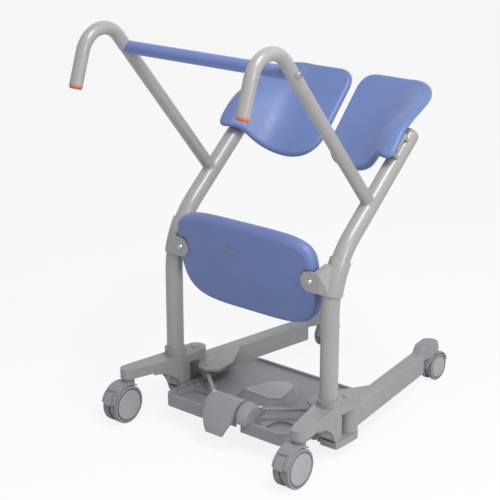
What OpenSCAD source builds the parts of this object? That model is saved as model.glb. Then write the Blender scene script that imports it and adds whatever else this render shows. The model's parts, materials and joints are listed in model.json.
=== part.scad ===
// Manual standing and transfer aid: two bent masts on a low wheeled base,
// hooked handles, a knee pad, two hinged seat flaps and a pedal that spreads the legs.
// Millimetres, +Z up, front (pedal side) towards -Y, floor at Z = 0.

/* [Masts] */
// Distance from the middle to each mast
mast_half = 252; // [248:1:260]
// Outside diameter of the mast tube
mast_d = 45; // [40:0.5:48]
// Wall of the mast and handle tubes
tube_wall = 2.5; // [1.5:0.5:4]
// Height at which the upright part of the mast ends
mast_upright = 372; // [350:1:400]
// Radius of the mast bend
mast_bend_r = 237; // [200:1:260]
// Lean of the upper mast from the vertical, in degrees
mast_rake = 49.2; // [45:0.2:53]
// Length of the straight upper mast
mast_top_len = 300; // [280:1:330]

/* [Handles] */
// Outside diameter of the handle tube
handle_d = 32; // [28:0.5:35]
// Distance of the handle weld past the mast bend
handle_root = 90; // [70:1:110]
// Slope of the handle above the horizontal, in degrees
handle_slope = 50.2; // [46:0.2:54]
// Straight length of the handle, from the mast axis to the hook
handle_len = 514; // [480:1:550]
// Radius of the hook at the top of the handle
hook_r = 67; // [55:1:80]
// Turn of the hook, in degrees
hook_turn = 122; // [110:1:130]
// Straight length of tube after the hook
hook_drop = 68; // [50:1:90]
// Length of the end cap of the handle
grip_cap_len = 20; // [12:1:30]
// Distance of the crossbar below the start of the hook
crossbar_below = 39; // [30:1:80]
// Outside diameter of the crossbar
crossbar_d = 31; // [26:0.5:34]

/* [Knee pad] */
// Distance from each mast axis to the side of the knee pad
knee_side = 33; // [31:0.5:40]
// Height of the knee pad
knee_h = 241; // [220:1:250]
// Thickness of the knee pad
knee_t = 38; // [30:1:44]
// Height of the middle of the knee pad
knee_z = 431; // [420:1:440]
// Forward place of the front face, from the mast axis
knee_front = 20; // [16:1:24]
// Height of the bracket screws
knee_screw_z = 452; // [440:1:460]
// Distance from each mast axis to its bracket screw
knee_screw_in = 45; // [42:1:57]
// Height of the bracket plate
bracket_h = 52; // [44:1:60]
// Thickness of the bracket plate
bracket_t = 5; // [4:0.5:7]

/* [Seat flaps] */
// Gap between the two flaps
seat_gap = 24; // [16:1:40]
// Distance from the mast in to the start of the turn-up
seat_turn = 113; // [110:1:118]
// Length of the flap in front of the mast end
seat_front = 95; // [80:1:110]
// Length of the flap behind the mast end
seat_rear = 178; // [150:1:200]
// Thickness of the flap
seat_t = 20; // [17:1:22]
// Depth of the flat panel below the mast axis
seat_drop = 42; // [38:1:44]
// Outward shift of the hinge pin from the mast axis
hinge_out = 10; // [6:0.5:12]
// Diameter of the hinge pin
hinge_pin_d = 7; // [6:0.5:8]

/* [Base] */
// Distance from the middle to each front castor
castor_half = 280; // [268:1:295]
// Distance of the front castor ahead of the mast
castor_ahead = 150; // [135:1:165]
// Height of the top of the casting
casting_top = 140; // [132:1:148]
// Height of the lower edge of the casting
casting_low = 32; // [26:1:40]
// Wall of the casting
casting_wall = 5; // [4:0.5:8]
// Radius of the wheel arch in the casting
arch_r = 88; // [80:1:95]
// Distance from the mast in to the edge of the footplate
plate_in = 34; // [33:1:46]
// Depth of the footplate behind the mast
plate_rear = 258; // [220:1:280]
// Depth of the footplate ahead of the mast
plate_front = 105; // [98:1:110]
// Height of the underside of the footplate
plate_z = 46; // [40:1:50]
// Thickness of the footplate floor
plate_t = 10; // [6:1:11]
// Height of the front lip over the floor
lip_h = 22; // [14:1:26]

/* [Legs] */
// Distance of the leg pivot behind the mast
pivot_back = 79; // [74:1:90]
// Length of the leg from pivot to rear castor
leg_len = 474; // [440:1:520]
// Inward lean of the closed leg, in degrees
leg_toe = 8.25; // [6:0.25:10]
// Width of the leg tube
leg_w = 40; // [34:1:44]
// Height of the leg tube
leg_h = 58; // [50:1:62]
// Height of the underside of the leg tube
leg_z = 48; // [47:1:52]
// Diameter of the leg pivot pin
pivot_d = 20; // [16:0.5:24]

/* [Spreader] */
// Distance of the pedal axle ahead of the mast
pedal_ahead = 92; // [90:1:96]
// Height of the pedal axle
pedal_z = 88; // [86:1:92]
// Radius of the pedal drum
pedal_r = 36; // [32:1:37]
// Half width of the pedal
pedal_half = 46; // [40:1:48]
// Diameter of the pedal axle
axle_d = 12; // [10:0.5:14]
// Distance from the middle to each tie rod pin on the yoke
yoke_half = 75; // [68:1:82]
// Diameter of the tie rod pins
rod_pin_d = 8; // [6:0.5:9]
// Sideways reach of the steering arm from the pivot
arm_x = 62; // [58:1:66]
// Forward reach of the steering arm from the pivot
arm_y = 28; // [24:1:32]

/* [Castors] */
// Diameter of the front wheels
front_wheel_d = 100; // [94:1:102]
// Diameter of the rear wheels
rear_wheel_d = 75; // [70:1:78]
// Width over the front twin wheels
front_wheel_w = 50; // [44:1:54]
// Width over the rear twin wheels
rear_wheel_w = 40; // [36:1:44]
// Trail of the front castors
front_trail = 22; // [16:1:26]
// Trail of the rear castors
rear_trail = 25; // [18:1:28]

/* [Fits] */
// Radial clearance of running fits
run_fit = 0.05; // [0.03:0.01:0.09]
// Gap between pieces that pass each other
pass_gap = 0.5; // [0.4:0.1:0.8]
// Radial clearance at the tie rod eye on the steering arm
open_fit = 2; // [1.8:0.1:2.4]

/* [Hidden] */
// knee pad between the masts
knee_w = 2 * (mast_half - knee_side);
knee_screw_x = mast_half - knee_screw_in;
$fn = 64;

grey = [0.66, 0.65, 0.63];
base_grey = [0.52, 0.52, 0.53];
blue = [0.42, 0.49, 0.72];
orange = [0.80, 0.43, 0.27];
steel = [0.75, 0.76, 0.78];
dark = [0.2, 0.2, 0.21];

mast_r = mast_d / 2;
handle_r = handle_d / 2;
// End of the mast bend and end of the mast, as [y, z] from the mast foot
bend_end = [mast_bend_r * (1 - cos(mast_rake)), mast_upright + mast_bend_r * sin(mast_rake)];
rake_dir = [sin(mast_rake), cos(mast_rake)];
mast_end = bend_end + rake_dir * mast_top_len;
// Handle line, hook centre and hook end, as [y, z]
hroot = bend_end + rake_dir * handle_root;
hdir = [-cos(handle_slope), sin(handle_slope)];
hook_start = hroot + hdir * handle_len;
hook_c = hook_start + [-sin(handle_slope), -cos(handle_slope)] * hook_r;
hook_a = 90 - handle_slope;
hook_exit = hook_c + [cos(hook_a + hook_turn), sin(hook_a + hook_turn)] * hook_r;
drop_dir = [-sin(hook_a + hook_turn), cos(hook_a + hook_turn)];
hook_tip = hook_exit + drop_dir * hook_drop;
hook_low = hook_tip + drop_dir * grip_cap_len;
crossbar_c = hroot + hdir * (handle_len - crossbar_below);
// Rear castor and the shift that puts the origin under the middle of the whole
rear_stem = [mast_half - leg_len * sin(leg_toe), pivot_back + leg_len * cos(leg_toe)];
front_reach = hook_low[0] - drop_dir[0] * 4 + handle_r * drop_dir[1];
rear_reach = rear_stem[1] + rear_trail + (rear_wheel_d / 2 + 6) * cos(15);
frame_y = -(front_reach + rear_reach) / 2;
// Casting and castor levels
arch_c = [-88, 20];
boss_r = 20;
boss_low = 114;
front_neck = front_wheel_d + 12;
rear_neck = rear_wheel_d + 10;
ear_low = leg_z - 4;
ear_high = leg_z + leg_h + 7;
leg_top = leg_z + leg_h;
plate_top = plate_z + plate_t;
plate_half = mast_half - plate_in;
shelf_x = mast_half - 60;
bolt_ys = [8, 30];
// Spreader levels
rod_z = 86;
rod_t = 8;
arm_t = 11.5;
yoke_y = -45;
pedal_swing = 18;
tooth_r = 27;

module at_frame() translate([0, frame_y, 0]) children();
module side(s) { if (s > 0) children(); else mirror([1, 0, 0]) children(); }

// Places children along the upper mast: X outwards, Y along the mast from its end, Z square to it
module on_mast() translate([0, mast_end[0], mast_end[1]]) rotate([90 - mast_rake, 0, 0]) children();

// Tube of one straight run between two [y, z] points
module run_yz(a, b, r) {
    d = b - a;
    translate([0, a[0], a[1]]) rotate([atan2(-d[0], d[1]), 0, 0]) cylinder(r = r, h = norm(d));
}

// Straight runs lap into a bend that is a hair thinner, so each tube stays one piece
lap = 0.5;
// Outside of the mast, or its bore, along the upright, bend and upper run
module mast_form(r, low, cut) {
    translate([0, 0, low]) cylinder(r = r, h = mast_upright - low + lap);
    bend_arc(r - lap / 10, 0, mast_rake);
    run_yz(bend_end - rake_dir * lap, mast_end + rake_dir * cut, r);
}

module mast(s) color(grey) at_frame() side(s) translate([mast_half, 0, 0]) difference() {
    mast_form(mast_r, plate_top + 6, 0);
    mast_form(mast_r - tube_wall, plate_top + 5, 1);
    translate([0, mast_end[0], mast_end[1]]) rotate([90 - mast_rake, 0, 0])
        translate([0, -plug_at, -mast_r - 1]) cylinder(d = plug_d, h = mast_r);
}
plug_at = 108;
plug_d = 9;

// Domed cap that closes the mast end
module mast_cap(s) color(grey) at_frame() side(s) translate([mast_half, 0, 0]) on_mast()
    rotate([-90, 0, 0]) {
        translate([0, 0, -14]) cylinder(r = mast_r - tube_wall - 0.05, h = 14);
        difference() {
            rotate_extrude() intersection() {
                scale(1) translate([0, 0]) circle(mast_r);
                square([mast_r, mast_r]);
            }
            translate([0, 0, mast_r * 0.62]) cylinder(r = mast_r, h = mast_r);
        }
    }

module mast_plugs() color(dark) at_frame() for (s = [-1, 1]) side(s)
    translate([mast_half, 0, 0]) on_mast() translate([0, -plug_at, -mast_r]) {
        translate([0, 0, -2]) cylinder(d = plug_d - 0.1, h = tube_wall + 3);
        translate([0, 0, -2.5]) cylinder(d = plug_d + 3, h = 2.4);
    }

module handle_form(r, over) {
    run_yz(hroot, hook_start + hdir * lap, r);
    translate([0, hook_c[0], hook_c[1]]) rotate([90, 0, 90]) rotate([0, 0, hook_a])
        rotate_extrude(angle = hook_turn) translate([hook_r, 0]) circle(r - lap / 10);
    run_yz(hook_exit - drop_dir * lap, hook_tip + drop_dir * over, r);
}

module handle(s) color(grey) at_frame() side(s) translate([mast_half, 0, 0]) difference() {
    handle_form(handle_r, 0);
    handle_form(handle_r - tube_wall, 1);
    run_yz(bend_end - rake_dir * 20, mast_end, mast_r);
    translate([-2 * handle_r, crossbar_c[0], crossbar_c[1]]) rotate([0, 90, 0])
        cylinder(d = 10.2, h = 4 * handle_r);
}

module grip_cap(s) color(orange) at_frame() side(s) translate([mast_half, 0, 0]) difference() {
    union() {
        run_yz(hook_tip, hook_low - drop_dir * 4, handle_r);
        run_yz(hook_low - drop_dir * 5, hook_low, handle_r - 2);
        run_yz(hook_tip - drop_dir * 16, hook_tip + drop_dir, handle_r - tube_wall - 0.05);
    }
    run_yz(hook_tip - drop_dir * 17, hook_tip + drop_dir * 6, handle_r - tube_wall - 3);
}

// Crossbar sleeve between the handles, its ends shaped to the tubes
module crossbar() color(blue) at_frame() difference() {
    translate([-mast_half, crossbar_c[0], crossbar_c[1]]) rotate([0, 90, 0])
        cylinder(d = crossbar_d, h = 2 * mast_half);
    for (s = [-1, 1]) translate([s * mast_half, 0, 0]) run_yz(hroot, hook_start, handle_r + 0.02);
    for (s = [-1, 1]) translate([s * mast_half, hook_c[0], hook_c[1]]) rotate([90, 0, 90])
        rotate([0, 0, hook_a]) rotate_extrude(angle = hook_turn) translate([hook_r, 0])
            circle(handle_r + 0.02);
    for (s = [-1, 1]) side(s) translate([mast_half - 60, crossbar_c[0], crossbar_c[1]])
        rotate([0, 90, 0]) cylinder(d = 10.2, h = 60);
}

module crossbar_bolts() color(steel) at_frame() for (s = [-1, 1]) side(s)
    translate([mast_half, crossbar_c[0], crossbar_c[1]]) rotate([0, 90, 0]) {
        translate([0, 0, -55]) cylinder(d = 10, h = 55 + handle_r);
        translate([0, 0, handle_r]) cylinder(d = 17, h = 3);
        translate([0, 0, handle_r + 3]) cylinder(d1 = 14, d2 = 10, h = 5);
    }

// Knee pad: stacked rounded outlines that swell in the middle and draw in at both faces
knee_tilt = 4;
function knee_pt(a, k) = let(
    c = cos(a), s = sin(a),
    e = 0.42,
    px = sign(c) * pow(abs(c), e) * (knee_w / 2) * (1 - 0.035 * (1 - s)),
    pz = sign(s) * pow(abs(s), s > 0 ? e : 0.62) * (knee_h / 2)) [px * k, pz * (1 - (1 - k) * 1.7)];
knee_rings = [for (i = [0:8]) let(t = i / 8, g = 1 - 0.05 * pow(abs(2 * t - 1), 3)) [t, g]];
knee_n = 72;
module knee_solid() {
    pts = [for (r = knee_rings) for (j = [0:knee_n - 1]) let(
        p = knee_pt(360 * j / knee_n, r[1])) [p[0], (r[0] - 0) * knee_t, p[1]]];
    crown = [[0, -3, 0], [0, knee_t + 6, 0]];
    last = len(knee_rings) - 1;
    faces = concat(
        [for (i = [0:last - 1]) for (j = [0:knee_n - 1]) let(k = (j + 1) % knee_n)
            [i * knee_n + j, i * knee_n + k, (i + 1) * knee_n + k]],
        [for (i = [0:last - 1]) for (j = [0:knee_n - 1]) let(k = (j + 1) % knee_n)
            [i * knee_n + j, (i + 1) * knee_n + k, (i + 1) * knee_n + j]],
        [for (j = [0:knee_n - 1]) [(j + 1) % knee_n, j, len(pts)]],
        [for (j = [0:knee_n - 1]) [last * knee_n + j, last * knee_n + (j + 1) % knee_n, len(pts) + 1]]);
    polyhedron(points = concat(pts, crown), faces = faces, convexity = 4);
}
module knee_place() at_frame() translate([0, -knee_front, knee_z]) rotate([knee_tilt, 0, 0]) children();
knee_screw_local = knee_screw_z - knee_z;

module knee_pad() color(blue) knee_place() difference() {
    knee_solid();
    for (s = [-1, 1]) translate([s * knee_screw_x, -5, knee_screw_local]) rotate([-90, 0, 0])
        cylinder(d = 8, h = 32);
    // seat for the bracket plate
    for (s = [-1, 1]) side(s) translate([knee_screw_x - bracket_h / 2 - 10, -10, knee_screw_local
        - bracket_h / 2 - 1]) cube([80, 11, bracket_h + 2]);
}

// Bracket: a sleeve round the mast bend with a plate over the front of the pad
bracket_a = asin((knee_screw_z - mast_upright) / mast_bend_r);
module bend_arc(r, a0, a1) translate([0, mast_bend_r, mast_upright]) rotate([90, 0, -90])
    rotate([0, 0, a0]) rotate_extrude(angle = a1 - a0) translate([mast_bend_r, 0]) circle(r);

module knee_bracket(s) color(grey) side(s) {
    difference() {
        union() {
            at_frame() translate([mast_half, 0, 0])
                bend_arc(mast_r + 4, bracket_a - 8, bracket_a + 13);
            knee_place() translate([knee_screw_x, 1, knee_screw_local]) rotate([90, 0, 0]) {
                cylinder(d = bracket_h + 0.6, h = bracket_t);
                translate([3, -bracket_h / 2, 0])
                    cube([mast_half - knee_screw_x - 25, bracket_h, bracket_t]);
            }
            hull() {
                knee_place() translate([mast_half - 32, 1.2 - bracket_t, knee_screw_local - bracket_h / 2 + 0.5])
                    cube([14, bracket_t - 0.4, bracket_h - 1]);
                at_frame() translate([mast_half - 19, -mast_r + 5, knee_screw_z - 28]) cube([27, 6, 8]);
                at_frame() translate([mast_half - 21, -mast_r + 24, knee_screw_z + 38]) cube([22, 5, 5]);
            }
        }
        at_frame() translate([mast_half, 0, 0]) bend_arc(mast_r + 0.05, 1, mast_rake - 1);
        knee_place() translate([knee_screw_x, 5, knee_screw_local]) rotate([90, 0, 0])
            cylinder(d = 8, h = 30);
    }
}

module knee_screws() color(steel) for (s = [-1, 1]) knee_place()
    translate([s * knee_screw_x, 1 - bracket_t, knee_screw_local]) rotate([-90, 0, 0]) {
        cylinder(d = 7.9, h = 28);
        translate([0, 0, -3]) cylinder(d1 = 12, d2 = 15, h = 3);
    }

// Seat flap: one section that runs flat, turns up beside the mast and folds out over it
flap_in = seat_gap / 2;
flat_x = mast_half - seat_turn;
up_r = 60;
up_turn = 75;
over_turn = 55;
wing_slope = up_turn - over_turn;
run_a = flat_x - flap_in;
// The turn-up starts further out towards the rear
flare = 50;
function flat_shift(v) = max(0, flare * (v + 20) / (seat_rear + 20));
run_b = up_r * up_turn * PI / 180;
run_d = up_r * over_turn * PI / 180;
lobe = 46;
flap_w = run_a + run_b + run_d + lobe;
// Ends of the two turns, as [x, w]
turn_b = [flat_x + up_r * sin(up_turn), -seat_drop + up_r * (1 - cos(up_turn))];
turn_d = turn_b + up_r * [sin(up_turn) - sin(wing_slope), cos(wing_slope) - cos(up_turn)];
// Middle line of the section at distance p: [x, w, direction]
function flap_mid(q, v) = let(g = flat_shift(v), p = q - g)
    p < run_a ? [flap_in + q, -seat_drop, 0] : flap_turn(p) + [g, 0, 0];
function flap_turn(p) =
    p < run_a ? [flap_in + p, -seat_drop, 0] :
    p < run_a + run_b ? let(a = (p - run_a) * 180 / PI / up_r)
        [flat_x + up_r * sin(a), -seat_drop + up_r * (1 - cos(a)), a] :
    p < run_a + run_b + run_d ? let(a = up_turn - (p - run_a - run_b) * 180 / PI / up_r)
        [turn_b[0] + up_r * (sin(up_turn) - sin(a)), turn_b[1] + up_r * (cos(a) - cos(up_turn)), a] :
    let(d = p - run_a - run_b - run_d)
        [turn_d[0] + d * cos(wing_slope), turn_d[1] + d * sin(wing_slope), wing_slope];
function inset(d, r) = d >= r ? 0 : r - sqrt(max(0, r * r - (r - d) * (r - d)));
lobe_end = -38;
rear_w = 236;
function flap_p0(v) = inset(v + seat_front, 78) + inset(seat_rear - v, 42);
function flap_p1(v) = (v < lobe_end ? flap_w
    : flap_w - (flap_w - rear_w) * pow((v - lobe_end) / (seat_rear - lobe_end), 0.8))
    - inset(v + seat_front, 46) - inset(seat_rear - v, 52);
function flap_lift(v) = 0.115 * (v + 50);
flap_nv = 26;
flap_n1 = 6;
flap_n2 = 14;
flap_np = flap_n1 + flap_n2;
// Station i across the flap, so that the turn-up follows one line of stations
function flap_p(i, p0, p1, g) = let(b = min(run_a + g, p1 - 30))
    i <= flap_n1 ? p0 + (b - p0) * (1 - cos(90 * i / flap_n1))
    : b + (p1 - b) * sin(90 * (i - flap_n1) / flap_n2);
module flap_solid() {
    vs = [for (j = [0:flap_nv]) -seat_front + (seat_front + seat_rear) * (1 - cos(180 * j / flap_nv)) / 2];
    loop = 2 * (flap_np + 1);
    pts = [for (v = vs) let(p0 = flap_p0(v), p1 = flap_p1(v),
        ends = min(1, 0.25 + min(v + seat_front, seat_rear - v) / 14))
        for (q = [0:loop - 1]) let(
            up = q <= flap_np,
            i = up ? q : loop - 1 - q,
            p = flap_p(i, p0, p1, flat_shift(v)),
            m = flap_mid(p, v),
            e = max(0, min(p - p0, p1 - p) / 11),
            h = (seat_t / 2) * ends * (0.22 + 0.78 * sqrt(1 - pow(1 - min(1, e), 2)))
                * (1 - 0.2 * min(1, max(0, p - run_a - flat_shift(v)) / run_b)),
            n = [-sin(m[2]), cos(m[2])] * (up ? h : -h))
            [m[0] + n[0], v, m[1] + n[1] + flap_lift(v)]];
    faces = concat(
        [for (j = [0:flap_nv - 1]) for (q = [0:loop - 1]) let(k = (q + 1) % loop)
            [j * loop + q, j * loop + k, (j + 1) * loop + k]],
        [for (j = [0:flap_nv - 1]) for (q = [0:loop - 1]) let(k = (q + 1) % loop)
            [j * loop + q, (j + 1) * loop + k, (j + 1) * loop + q]],
        [[for (q = [loop - 1:-1:0]) q]],
        [[for (q = [0:loop - 1]) flap_nv * loop + q]]);
    polyhedron(points = pts, faces = faces, convexity = 6);
}
module seat_flap(s) color(blue) at_frame() side(s) on_mast() flap_solid();

// Hinge: two lugs on the mast, a pin along the mast and a knuckle under the wing
hinge_v0 = -82;
hinge_len = 64;
lug_t = 10;
lug_r = hinge_pin_d / 2 + 3;
// Underside of the fold-over part, and the pin height that keeps the lugs clear of it
function wing_w(x) = turn_d[1] + (x - turn_d[0]) * tan(wing_slope) - 0.4 * seat_t / cos(wing_slope);
hinge_up = wing_w(mast_half + hinge_out - lug_r / 2) + flap_lift(hinge_v0) - lug_r - 1;
module hinge_axis() translate([mast_half + hinge_out, 0, hinge_up]) rotate([-90, 0, 0]) children();
module seat_lug(s) color(grey) at_frame() side(s) on_mast() difference() {
    union() for (v = [hinge_v0, hinge_v0 + hinge_len - lug_t]) {
        translate([0, v, 0]) hinge_axis() cylinder(r = lug_r, h = lug_t);
        translate([mast_half + hinge_out - lug_r, v, 0]) cube([2 * lug_r, lug_t, hinge_up]);
    }
    translate([mast_half, hinge_v0 - 10, 0]) rotate([-90, 0, 0]) cylinder(r = mast_r + 0.02, h = hinge_len + 20);
    translate([mast_half - 50, hinge_v0 - 10, -60]) cube([100, hinge_len + 20, 70]);
    translate([0, hinge_v0 - 1, 0]) hinge_axis() cylinder(d = hinge_pin_d + 0.1, h = hinge_len + 2);
}
module seat_pins() color(steel) at_frame() for (s = [-1, 1]) side(s) on_mast()
    translate([0, hinge_v0 - 2, 0]) hinge_axis() {
        cylinder(d = hinge_pin_d, h = hinge_len + 4);
        cylinder(d = hinge_pin_d + 3, h = 2);
    }
// Plane of the fold-over part of the wing, at the middle of the hinge
module wing_plane() translate([turn_d[0], -50, turn_d[1]])
    rotate([atan(0.115), 0, 0]) rotate([0, -wing_slope, 0]) children();
knuckle_len = hinge_len - 2 * lug_t - 2 * pass_gap;
leaf_t = 4;
module seat_knuckle(s) color(grey) at_frame() side(s) on_mast() difference() {
    union() {
        translate([0, hinge_v0 + lug_t + pass_gap, 0]) {
            hinge_axis() cylinder(r = lug_r, h = knuckle_len);
            translate([mast_half + hinge_out - lug_r, 0, hinge_up])
                cube([2 * lug_r, knuckle_len, lug_r]);
        }
        wing_plane() translate([6, -knuckle_len / 2, -0.4 * seat_t - 0.3 - leaf_t])
            cube([lobe - 10, knuckle_len, leaf_t]);
    }
    translate([0, hinge_v0 - 1, 0]) hinge_axis()
        cylinder(d = hinge_pin_d + 2 * run_fit, h = hinge_len + 2);
}

// Casting: a hollow inverted arm from castor boss to mast socket, arched over the wheel
module casting_block(off) hull() {
    translate([castor_half, -castor_ahead, boss_low - 30]) cylinder(r = boss_r - off, h = 56 - off, $fn = 32);
    translate([mast_half - 3, -6, casting_low]) cylinder(r = 29 - off, h = casting_top - casting_low - off, $fn = 32);
    translate([mast_half - 2, 16, casting_low]) cylinder(r = 26 - off, h = casting_top - casting_low - 8 - off, $fn = 32);
}
module casting(s) color(base_grey) at_frame() side(s) difference() {
    union() {
        difference() {
            casting_block(0);
            translate([0, 0, -casting_wall]) casting_block(casting_wall);
            translate([0, 0, -40]) casting_block(casting_wall);
        }
        intersection() {
            translate([mast_half, 0, plate_top - 6]) cylinder(r = mast_r + 6, h = 200);
            translate([mast_half - 60, -60, casting_low]) cube([120, 120, casting_top - casting_low + 18]);
        }
        translate([castor_half, -castor_ahead, boss_low]) cylinder(r = boss_r, h = 26);
        // ears that hold the leg pivot
        hull() {
            translate([mast_half, 14, ear_high]) cylinder(r = 27, h = 22, $fn = 32);
            translate([mast_half, pivot_back, ear_high]) cylinder(r = 27, h = 22, $fn = 32);
        }
        hull() {
            translate([mast_half, 14, ear_low - 18]) cylinder(r = 27, h = 18, $fn = 32);
            translate([mast_half, pivot_back, ear_low - 18]) cylinder(r = 27, h = 18, $fn = 32);
        }
        // shelf under the footplate
        translate([shelf_x, 0, plate_z - 10]) cube([40, 40, 10]);
    }
    // wheel arch through both walls
    translate([0, arch_c[0], arch_c[1]]) rotate([0, 90, 0]) cylinder(r = arch_r, h = 400);
    translate([0, -castor_ahead - 60, -10]) cube([400, castor_ahead + 60 + arch_c[0], boss_low + 10]);
    translate([mast_half, 0, plate_top + 6]) cylinder(r = mast_r + 0.05, h = 200);
    translate([castor_half, -castor_ahead, 0]) cylinder(d = stem_d + 2 * run_fit, h = boss_low + 20);
    translate([mast_half, pivot_back, 0]) cylinder(d = pivot_d + 0.1, h = 200);
    for (y = bolt_ys) translate([shelf_x + 12, y, 0]) cylinder(d = 8.4, h = 100);
}
stem_d = 14;

// Footplate: a tray with a front lip, side rims, foot wells and a notch for the pedal
module plate_outline(grow) offset(r = 22 + grow) offset(delta = -22) polygon([
    [-196, -plate_front], [196, -plate_front], [196, -70], [plate_half, -44], [plate_half, 60],
    [190, plate_rear], [-190, plate_rear], [-plate_half, 60], [-plate_half, -44], [-196, -70]]);
module footplate() color(base_grey) at_frame() difference() {
    union() {
        translate([0, 0, plate_z]) linear_extrude(plate_t) plate_outline(0);
        // raised rim all round, higher along the front
        translate([0, 0, plate_top]) linear_extrude(8) difference() {
            plate_outline(0);
            plate_outline(-6);
        }
        translate([0, 0, plate_top]) linear_extrude(lip_h) intersection() {
            difference() {
                plate_outline(0);
                plate_outline(-9);
            }
            translate([-300, -plate_front - 10]) square([600, 42]);
        }
        // rail that guides the yoke
        translate([-8, yoke_y - 14, plate_top]) cube([16, 62, 9]);
        // ribs under the tray
        for (x = [-120, -60, 60, 120]) translate([x - 3, -plate_front + 20, plate_z - 8])
            cube([6, plate_front + plate_rear - 60, 8.01]);
        // saddle between the feet, under the light island
        hull() {
            translate([0, 0, plate_top - 1]) linear_extrude(1) island(26);
            translate([0, 0, saddle_z - 1]) linear_extrude(1) island(4);
        }
    }
    // openings for the yoke, the pedal and the rod ends
    translate([pedal_shift - pedal_half - 3, -plate_front - 20, 0])
        cube([2 * pedal_half + 6, 20 + plate_front - 66, 200]);
    for (s = [-1, 1]) for (y = bolt_ys) translate([s * (shelf_x + 12), y, 0]) cylinder(d = 8.4, h = 100);
    // foot wells beside the pedal
    for (s = [-1, 1]) side(s) translate([0, 0, plate_top - 6]) linear_extrude(40) offset(r = 24) offset(delta = -24)
        polygon([[well_x - 96, -62], [well_x - 46, -82], [well_x - 12, -76], [well_x, -30], [well_x - 20, -2],
            [well_x - 92, -2]]);
}
saddle_z = 76;
well_x = mast_half - 56;
module island(grow) offset(r = 14 + grow) offset(delta = -14) polygon([
    [-58, 46], [30, 40], [58, 60], [36, 136], [10, 160], [-32, 128]]);
module tread_pad() color(grey) at_frame() translate([0, 0, saddle_z + 0.02]) linear_extrude(2.5) island(0);
module footplate_bolts() color(steel) at_frame() for (s = [-1, 1]) for (y = bolt_ys)
    translate([s * (shelf_x + 12), y, plate_z - 16]) {
        cylinder(d = 8, h = plate_t + 16);
        translate([0, 0, plate_t + 16]) cylinder(d1 = 15, d2 = 11, h = 4);
        cylinder(d = 13, h = 5.9, $fn = 6);
    }

// Pedal ears, axle and the rocking pedal
ear_in = pedal_half + 4;
pedal_shift = 12;
ear_form = [[[0, 0], [pedal_r - 6, 0], [pedal_r - 5, 1], [pedal_r - 5, 7], [pedal_r - 7, 9], [0, 9]],
    [[0, 0], [pedal_r - 3, 0], [pedal_r, 4], [pedal_r, 17], [pedal_r - 3, 25], [pedal_r - 10, 30], [0, 32]]];
module pedal_ear(s) color(base_grey) at_frame() translate([pedal_shift, 0, 0]) side(s) difference() {
    union() {
        translate([ear_in, -pedal_ahead, pedal_z]) rotate([0, 90, 0]) rotate_extrude()
            polygon(ear_form[s > 0 ? 1 : 0]);
        translate([ear_in + 0.5, -pedal_ahead - 10, plate_top]) cube([s > 0 ? 23.5 : 8, pedal_r + 8, pedal_z - plate_top]);
    }
    translate([ear_in - 1, -pedal_ahead, pedal_z]) rotate([0, 90, 0]) cylinder(d = axle_d + 0.1, h = s > 0 ? 26 : 9);
    translate([0, -plate_front - 60, plate_top - 60]) cube([300, 69.1, 60 + lip_h]);
    translate([0, -300, plate_top - 60]) cube([300, 600, 60]);
}
module pedal_axle() color(steel) at_frame() translate([pedal_shift - ear_in - 7, -pedal_ahead, pedal_z])
    rotate([0, 90, 0]) cylinder(d = axle_d, h = 2 * ear_in + 29);

module pedal() color(base_grey) at_frame() translate([0, -pedal_ahead, pedal_z]) difference() {
    union() {
        // drum skin, open below
        translate([pedal_shift, 0, 0]) rotate([0, -90, 0]) translate([0, 0, -pedal_half]) rotate([0, 0, -90]) mirror([1, 0, 0])
            rotate([0, 0, 0]) rotate_extrude(angle = 222) translate([pedal_r - 6, 0])
                square([6, 2 * pedal_half]);
        // end walls and hub
        for (x = [-pedal_half, pedal_half - 5]) translate([pedal_shift + x, 0, 0]) rotate([0, 90, 0])
            intersection() {
                cylinder(r = pedal_r - 1, h = 5);
                translate([-100, -50, 0]) cube([100 + 12, 100, 10]);
            }
        translate([pedal_shift - pedal_half, 0, 0]) rotate([0, 90, 0])
            cylinder(d = axle_d + 10, h = 2 * pedal_half);
        // sloped tread that narrows to the toe
        intersection() {
            translate([pedal_shift - pedal_half, 0, 0]) rotate([90, 0, 90]) linear_extrude(2 * pedal_half)
                polygon([[-20, 25], [-33, 17], [-44, 0], [-57, -30], [-59, -46], [-53, -47], [-50, -30],
                    [-38, -4], [-30, 4]]);
            translate([pedal_shift, 0, 0]) rotate([90, 0, 0]) linear_extrude(200, center = true) polygon([
                [-pedal_half, 40], [pedal_half, 40], [pedal_half, -6], [pedal_half - 14, -34], [18, -60],
                [-18, -60], [14 - pedal_half, -34], [-pedal_half, -6]]);
        }
        // tooth that drives the yoke
        rotate([-pedal_swing, 0, 0]) translate([-9, -3, -tooth_r]) cube([18, 6, tooth_r]);
    }
    translate([pedal_shift - pedal_half - 1, 0, 0]) rotate([0, 90, 0])
        cylinder(d = axle_d + 2 * run_fit, h = 2 * pedal_half + 2);
}

// Yoke: a sliding crosshead on the tray rail with a tongue under the pedal
yoke_low = plate_top + pass_gap;
tooth_y = -pedal_ahead - (tooth_r - 5) * sin(pedal_swing);
module yoke() color(steel) at_frame() difference() {
    union() {
        translate([-yoke_half - 9, yoke_y - 7, rod_z - 0.5 - 10]) cube([2 * yoke_half + 18, 14, 10]);
        translate([-18, yoke_y - 7, yoke_low]) cube([36, 26, rod_z - 0.5 - yoke_low]);
        translate([-11, tooth_y - 11, yoke_low]) cube([22, yoke_y - tooth_y + 7, 4]);
        for (y = [tooth_y - 11, tooth_y + 7]) translate([-11, y, yoke_low]) cube([22, 4, 13]);
    }
    translate([-8 - run_fit, yoke_y - 30, 0]) cube([16 + 2 * run_fit, 80, plate_top + 9 + 0.1]);
    for (x = [-yoke_half, yoke_half]) translate([x, yoke_y, 0]) cylinder(d = rod_pin_d + 0.1, h = 200);
}
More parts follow.
